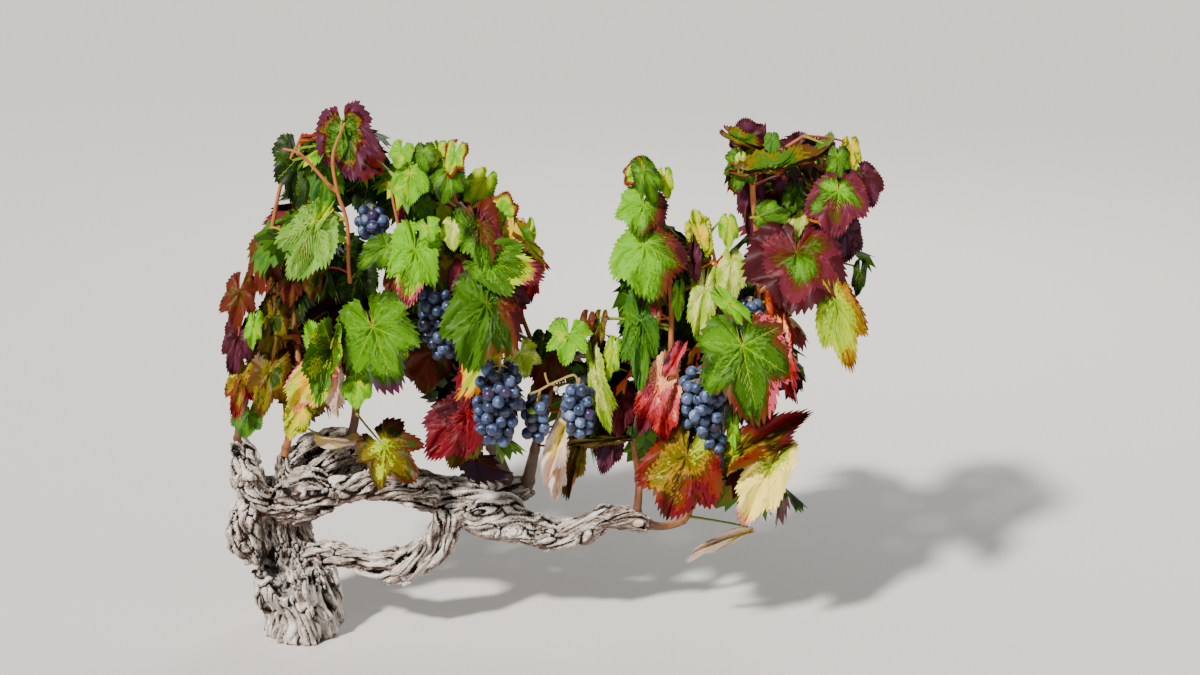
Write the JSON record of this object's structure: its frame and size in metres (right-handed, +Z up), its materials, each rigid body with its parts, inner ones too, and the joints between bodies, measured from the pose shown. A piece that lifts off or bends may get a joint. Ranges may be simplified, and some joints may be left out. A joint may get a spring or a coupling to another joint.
{
  "type": "grapevine",
  "caption": "Old low grapevine with a gnarled trunk, sprawling bark-covered arms, red-brown canes, autumn-tinted leaves and blue grape bunches, rooted in the ground.",
  "frame": {"origin": "middle of the flat cut under the trunk, at ground level", "axes": "+Z up out of the ground, +X along the arms from the trunk towards their free end, -Y towards the vine's front"},
  "size_m": [0.7411, 0.3244, 0.6265],
  "materials": {
    "old_wood": "rough, cracked and flaking bark",
    "cane": "smooth, finely striped young bark",
    "leaves": "soft satin, green to yellow and wine red"
  },
  "bodies": {
    "root": {"trunk": "old_wood", "split_collar": "old_wood", "left_head": "old_wood", "left_arm": "old_wood", "left_knob": "old_wood", "head_spur": "old_wood", "back_head": "old_wood", "back_arm": "old_wood", "upper_arm": "old_wood", "long_arm": "old_wood", "arm_end": "old_wood", "loop_bend": "old_wood", "loop_low": "old_wood", "fruit_spur": "old_wood", "cane_left_arm": "cane", "cane_head_spur": "cane", "cane_back_head": "cane", "cane_fruit_left": "cane", "cane_fruit_right": "cane", "cane_arm_tip": "cane", "cane_low_tip": "cane", "crown_left_low": "leaves", "crown_left_mid": "leaves", "crown_left_top": "leaves", "crown_centre_low": "leaves", "crown_centre_mid": "leaves", "crown_centre_top": "leaves", "crown_fruit_left": "leaves", "crown_gap_low": "leaves", "crown_column": "leaves", "crown_right_inner": "leaves", "crown_right_foot": "leaves", "crown_right_mid": "leaves", "crown_right_high": "leaves", "crown_right_top": "leaves", "crown_back_left": "leaves", "crown_back_centre": "leaves", "crown_back_right": "leaves"}
  },
  "joints": []
}
